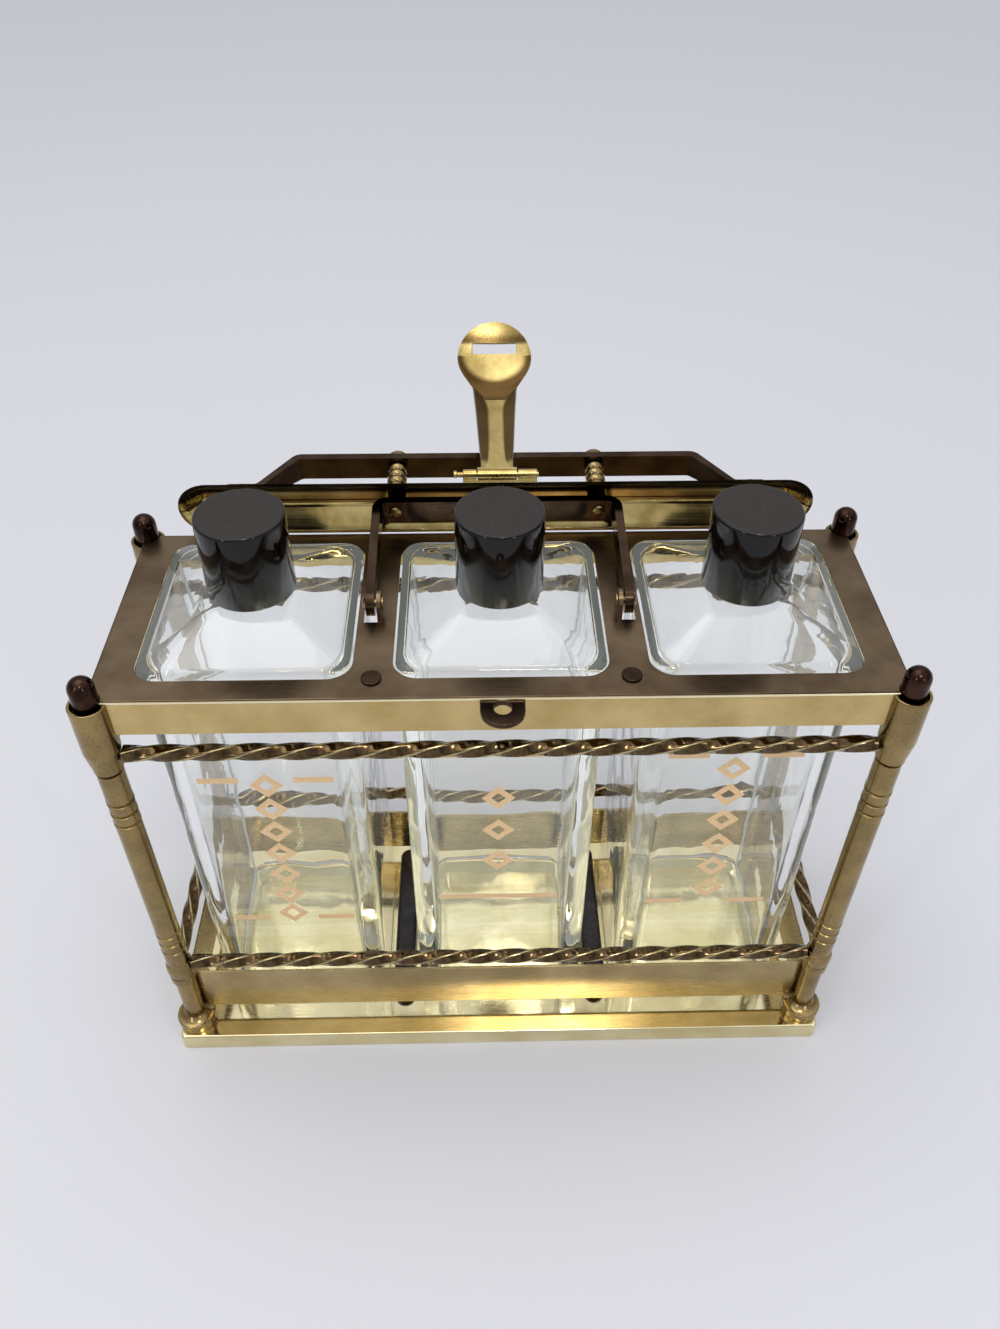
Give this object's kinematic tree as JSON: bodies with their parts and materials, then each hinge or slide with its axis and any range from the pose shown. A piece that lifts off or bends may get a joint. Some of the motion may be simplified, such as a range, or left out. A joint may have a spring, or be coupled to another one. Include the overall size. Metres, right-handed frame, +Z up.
{
  "type": "locking decanter caddy",
  "caption": "Open-frame locking caddy with turned posts and twisted rails that holds square capped decanters under a hinged locking bar with a slotted hasp.",
  "frame": {"origin": "centre of the base's underside", "axes": "+X along the caddy to the right seen from the hasp side, +Y to the back, +Z up"},
  "size_m": [0.2978, 0.1769, 0.2715],
  "materials": {
    "polished_base_brass": "mirror polished",
    "band_brass": "satin lacquered",
    "top_plate_brass": "brushed, antiqued",
    "turned_post_brass": "turned, speckled antique",
    "finial_bronze": "dark lacquered",
    "twisted_rail_bronze": "darkened, edges rubbed bright",
    "dark_lacquered_brass": "darkened lacquer",
    "trough_brass": "pressed, lacquered",
    "hasp_brass": "pressed, satin",
    "base_board_wood": "plain",
    "plated_nut_steel": "plated",
    "divider_ebonite": "satin",
    "clear_glass": "clear moulded",
    "cap_plastic": "glossy skirt, matt crown",
    "stopper_plastic": "natural"
  },
  "bodies": {
    "caddy": {"base_pan": "polished_base_brass", "base_board": "base_board_wood", "post_nuts": "plated_nut_steel", "left_divider": "divider_ebonite", "right_divider": "divider_ebonite", "bottle_band": "band_brass", "top_plate": "top_plate_brass", "staple": "dark_lacquered_brass", "plate_rivets": "dark_lacquered_brass", "pivot_rivets": "turned_post_brass", "front_left_foot": "turned_post_brass", "front_left_post": "turned_post_brass", "front_left_collar": "turned_post_brass", "front_left_finial": "finial_bronze", "front_right_foot": "turned_post_brass", "front_right_post": "turned_post_brass", "front_right_collar": "turned_post_brass", "front_right_finial": "finial_bronze", "rear_left_foot": "turned_post_brass", "rear_left_post": "turned_post_brass", "rear_left_collar": "turned_post_brass", "rear_left_finial": "finial_bronze", "rear_right_foot": "turned_post_brass", "rear_right_post": "turned_post_brass", "rear_right_collar": "turned_post_brass", "rear_right_finial": "finial_bronze", "upper_front_rail": "twisted_rail_bronze", "upper_rear_rail": "twisted_rail_bronze", "upper_left_rail": "twisted_rail_bronze", "upper_right_rail": "twisted_rail_bronze", "lower_front_rail": "twisted_rail_bronze", "lower_rear_rail": "twisted_rail_bronze", "lower_left_rail": "twisted_rail_bronze", "lower_right_rail": "twisted_rail_bronze"},
    "locking_bar": {"bail": "dark_lacquered_brass", "locking_trough": "trough_brass", "handle_strip": "dark_lacquered_brass", "left_handle_post": "turned_post_brass", "right_handle_post": "turned_post_brass", "handle_nuts": "turned_post_brass", "bail_spacers": "turned_post_brass", "handle_rivets": "dark_lacquered_brass", "hinge_leaf": "hasp_brass", "leaf_rivets": "hasp_brass", "hinge_pin": "hasp_brass"},
    "hasp_arm": {"hasp": "hasp_brass"},
    "left_decanter": {"left_bottle": "clear_glass"},
    "left_closure": {"left_cap": "cap_plastic", "left_stopper": "stopper_plastic"},
    "middle_decanter": {"middle_bottle": "clear_glass"},
    "middle_closure": {"middle_cap": "cap_plastic", "middle_stopper": "stopper_plastic"},
    "right_decanter": {"right_bottle": "clear_glass"},
    "right_closure": {"right_cap": "cap_plastic", "right_stopper": "stopper_plastic"}
  },
  "joints": [
    {"name": "bar_hinge", "type": "hinge", "parent": "caddy", "child": "locking_bar", "pos_m": [0, -0.00305, 0.2195], "axis": [-1, 0, 0], "range_deg": [-81, 0]},
    {"name": "hasp_hinge", "type": "hinge", "parent": "locking_bar", "child": "hasp_arm", "pos_m": [0, 0.04528, 0.24295], "axis": [-1, 0, 0], "range_deg": [-143.93, 0]},
    {"name": "left_bottle_lift", "type": "slide", "parent": "caddy", "child": "left_decanter", "axis": [0, 0, 1], "range_m": [0, 0.215]},
    {"name": "left_cap_lift", "type": "slide", "parent": "left_decanter", "child": "left_closure", "axis": [0, 0, 1], "range_m": [0, 0.03]},
    {"name": "middle_bottle_lift", "type": "slide", "parent": "caddy", "child": "middle_decanter", "axis": [0, 0, 1], "range_m": [0, 0.215]},
    {"name": "middle_cap_lift", "type": "slide", "parent": "middle_decanter", "child": "middle_closure", "axis": [0, 0, 1], "range_m": [0, 0.03]},
    {"name": "right_bottle_lift", "type": "slide", "parent": "caddy", "child": "right_decanter", "axis": [0, 0, 1], "range_m": [0, 0.215]},
    {"name": "right_cap_lift", "type": "slide", "parent": "right_decanter", "child": "right_closure", "axis": [0, 0, 1], "range_m": [0, 0.03]}
  ]
}
